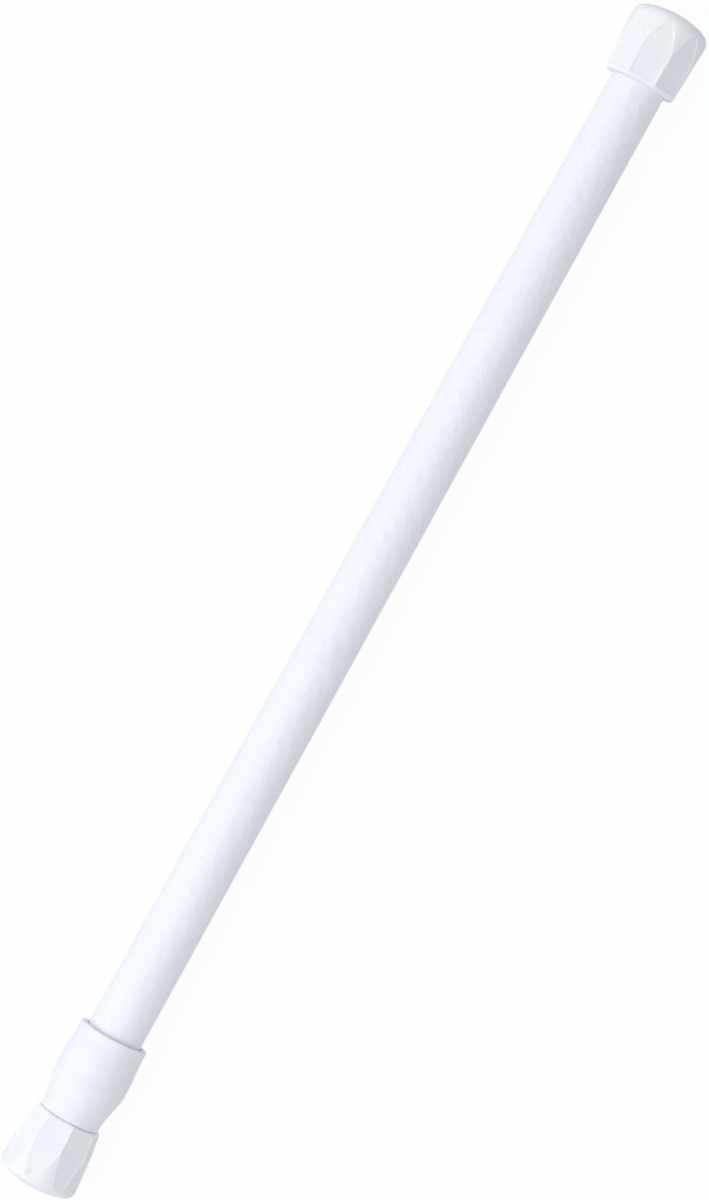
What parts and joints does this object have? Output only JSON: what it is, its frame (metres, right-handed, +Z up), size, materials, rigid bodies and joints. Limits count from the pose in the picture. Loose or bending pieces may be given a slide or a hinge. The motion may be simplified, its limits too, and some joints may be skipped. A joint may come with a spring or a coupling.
{
  "type": "spring tension rod",
  "caption": "Telescopic spring tension rod for a small curtain, closed: white coated tubes, faceted soft feet, a flared collar, and a twist lock and spring inside.",
  "frame": {"origin": "on the surface that the closed rod lies on, under the middle of its length", "axes": "+X along the rod towards the inner tube's foot, +Y across it, +Z up"},
  "size_m": [0.3, 0.0186, 0.0187],
  "materials": {
    "white_coating": "white powder coat with a faint grain, satin",
    "soft_white": "soft white moulded plastic, matt",
    "collar_plastic": "white moulded plastic, satin",
    "inner_plastic": "pale grey moulded plastic",
    "nylon": "natural nylon",
    "grip_rubber": "matt",
    "zinc_steel": "zinc plated",
    "spring_steel": "oiled spring wire"
  },
  "bodies": {
    "outer": {"outer_tube": "white_coating", "outer_foot": "soft_white", "outer_tube_plug": "inner_plastic", "collar": "collar_plastic"},
    "glide": {"glide_ring": "nylon"},
    "inner": {"inner_tube": "white_coating", "inner_foot": "soft_white", "inner_tube_plug": "inner_plastic", "end_bush": "nylon", "spring_seat": "inner_plastic", "seat_pin": "zinc_steel", "compression_spring": "spring_steel"},
    "lock": {"spindle": "zinc_steel", "spring_cup": "zinc_steel", "spindle_nut": "zinc_steel", "lock_body": "nylon", "lock_pin": "zinc_steel", "cam_washer": "zinc_steel", "cam_screw": "zinc_steel"},
    "cam": {"brake_cam": "nylon", "grip_sleeve": "grip_rubber"}
  },
  "joints": [
    {"name": "extend", "type": "slide", "parent": "outer", "child": "glide", "axis": [1, 0, 0], "range_m": [0, 0.18]},
    {"name": "twist", "type": "hinge", "parent": "glide", "child": "inner", "pos_m": [-0.07514, 0, 0.00934], "axis": [1, 0, 0], "range_deg": [-48, 48]},
    {"name": "spring_travel", "type": "slide", "parent": "inner", "child": "lock", "axis": [1, 0, 0], "range_m": [0, 0.02], "stiffness_N_per_m": 1800, "springref_m": -0.003, "deforming": ["compression_spring"]},
    {"name": "cam_swing", "type": "hinge", "parent": "lock", "child": "cam", "pos_m": [-0.1098, 0, 0.01004], "axis": [1, 0, 0], "range_deg": [-48, 48]}
  ],
  "couplings": [
    {"joint": "cam_swing", "follows": "twist", "ratio": -1}
  ]
}
